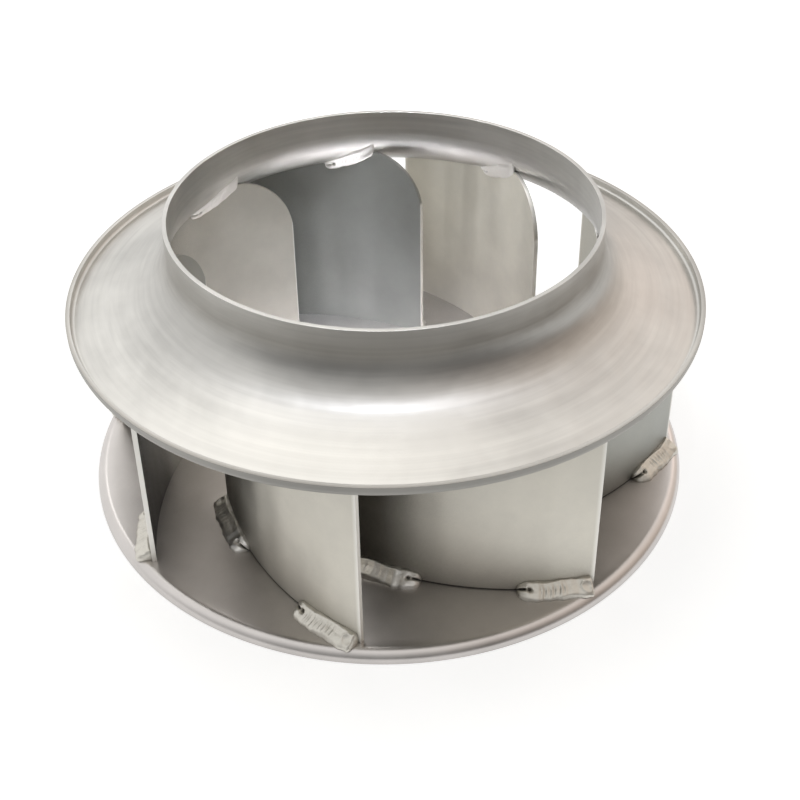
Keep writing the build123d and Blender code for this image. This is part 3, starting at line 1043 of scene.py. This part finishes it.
def world_light(stage):
    """White backdrop for the camera, and for gloss a pale back and a darker room in front."""
    world = bpy.data.worlds.new("studio")
    bpy.context.scene.world = world
    world.use_nodes = True
    net = Nodes(world.node_tree)
    direction = net.add("TexCoord", output="Generated")
    right, back, up = net.add("SeparateXYZ", {0: direction}, None)
    rightward = net.math("MAXIMUM", right, 0.0)
    behind = net.total(net.math("MULTIPLY", up, 0.6), (back, 0.8), (rightward, -0.5))
    room = net.fitted(behind, -0.8, 0.2, stage.front_shade, stage.back_shade)
    path, gloss = gloss_share(net)
    lit = net.add("Mix", {"Factor": gloss, 2: stage.sky_strength, 3: room})
    seen = net.add("Mix", {"Factor": path["Is Camera Ray"], 2: lit, 3: 1.0})
    warmth = net.math("MULTIPLY", rightward, gloss)
    wall = net.blend(warmth, WHITE, opaque(linear("efdfd2")))
    sky = net.add("Background", {"Color": wall, "Strength": seen})
    net.add("OutputWorld", {"Surface": sky}, None)


def floor_material(colours, stage):
    """Plain pale floor: white for the camera with its shadow kept, and for gloss dim far in front."""
    material, net, place = new_material("matt pale floor")
    path, gloss = gloss_share(net)
    matt = net.add("BsdfDiffuse", {"Color": opaque(colours.floor)})
    lift = net.math("MULTIPLY", path["Is Camera Ray"], stage.floor_lift)
    glow = net.add("Emission", {"Color": WHITE, "Strength": lift})
    plain = net.add("AddShader", {0: matt, 1: glow})
    depth = net.add("SeparateXYZ", {0: place}, 1)
    near = net.fitted(depth, -0.56, -0.24, stage.front_shade, stage.back_shade, "SMOOTHSTEP")
    mirrored = net.add("Emission", {"Color": WHITE, "Strength": near})
    both = net.add("MixShader", {0: gloss, 1: plain, 2: mirrored})
    net.add("OutputMaterial", {"Surface": both}, None)
    return material


FLOOR_HALF = 6.0
# Place and aim of each lamp in metres, its size and its colour; the last shines down the inlet.
LAMPS = {
    "key": ((-0.26, 0.30, 1.31), (0, 0, 0.1), 0.8, "fffdf8"),
    "fill": ((0.95, 1.05, 0.72), (0, 0, 0.1), 0.45, "ffeae2"),
    "streak": ((-0.66, 0.78, 0.86), (-0.15, -0.1, 0.14), 0.16, "ffffff"),
    "eye": ((0, -0.30, 1.15), (0, 0.05, 0.1), 0.18, "eef2ff"),
}
EYE_SPREAD = radians(16)
# The camera fitted to the photograph: its place in metres, its fall and its turn in degrees.
CAMERA_PLACE = (0.00945, -0.73258, 0.60875)
CAMERA_FALL, CAMERA_TURN = 33.551, -0.815
CAMERA_LENS = {"sensor_width": 36, "lens": 58.16, "shift_y": -0.125, "clip_start": 0.01}


class IMPELLER_OT_stage(Builder, bpy.types.Operator):
    """Set the floor, the soft light and the photograph's camera"""

    bl_idname = "impeller.stage"
    bl_label = "Stage"

    def build(self, scene):
        stage = scene.impeller_stage
        mesh = bpy.data.meshes.new("floor")
        corners = [(-1, -1), (1, -1), (1, 1), (-1, 1)]
        mesh.from_pydata([(FLOOR_HALF * x, FLOOR_HALF * y, 0) for x, y in corners], [], [(0, 1, 2, 3)])
        mesh.materials.append(floor_material(scene.impeller_finishes, stage))
        floor = link_object("floor", mesh)
        floor.location.z = cad_box[0][2] - 0.02 * MM
        for name, (place, aim, size, tint) in LAMPS.items():
            power = getattr(stage, f"{name}_power")
            lamp = area_light(f"{name} light", place, aim, size, power, tint)
        lamp.spread = EYE_SPREAD
        world_light(stage)
        view = bpy.data.cameras.new("camera")
        for key, value in CAMERA_LENS.items():
            setattr(view, key, value)
        scene.camera = link_object("camera", view)
        fall = Matrix.Rotation(radians(90 - CAMERA_FALL), 4, "X")
        turn = Matrix.Rotation(radians(CAMERA_TURN), 4, "Z")
        scene.camera.matrix_world = Matrix.Translation(CAMERA_PLACE) @ fall @ turn
        scene.view_settings.view_transform = "Standard"
        # Light enters the wheel over many metal faces.
        scene.cycles.glossy_bounces = 10


class IMPELLER_PT_pieces(bpy.types.Panel):
    """Lists the impeller's operators and sizes in the sidebar"""

    bl_label = "Impeller"
    bl_idname = "IMPELLER_PT_pieces"
    bl_space_type = "VIEW_3D"
    bl_region_type = "UI"
    bl_category = "Impeller"

    def draw(self, context):
        scene = context.scene
        for operator in OPERATORS:
            self.layout.operator(operator.bl_idname)
        for name in SETTINGS:
            group = getattr(scene, name)
            box = self.layout.box()
            for key in group.bl_rna.properties.keys():
                if key not in ("rna_type", "name"):
                    box.prop(group, key)


SETTINGS = {
    "impeller_sheets": SheetSizes,
    "impeller_welds": WeldSizes,
    "impeller_screws": ScrewSizes,
    "impeller_finishes": Finishes,
    "impeller_stage": Stage,
}
OPERATORS = (
    IMPELLER_OT_shroud,
    IMPELLER_OT_back_plate,
    IMPELLER_OT_blades,
    IMPELLER_OT_welds,
    IMPELLER_OT_hub,
    IMPELLER_OT_hub_screws,
    IMPELLER_OT_stage,
)
CLASSES = (*SETTINGS.values(), *OPERATORS, IMPELLER_PT_pieces)


def register():
    for group in SETTINGS.values():
        # Each property's label is made from its own name.
        for key, made in group.__annotations__.items():
            made.keywords["name"] = key.replace("_", " ").capitalize()
    for item in CLASSES:
        bpy.utils.register_class(item)
    for name, group in SETTINGS.items():
        setattr(bpy.types.Scene, name, PointerProperty(type=group))


def unregister():
    for name in SETTINGS:
        delattr(bpy.types.Scene, name)
    for item in reversed(CLASSES):
        bpy.utils.unregister_class(item)


def main():
    """Builds every piece and the stage."""
    register()
    for operator in OPERATORS:
        group, name = operator.bl_idname.split(".")
        getattr(getattr(bpy.ops, group), name)()


if __name__ == "__main__":
    main()
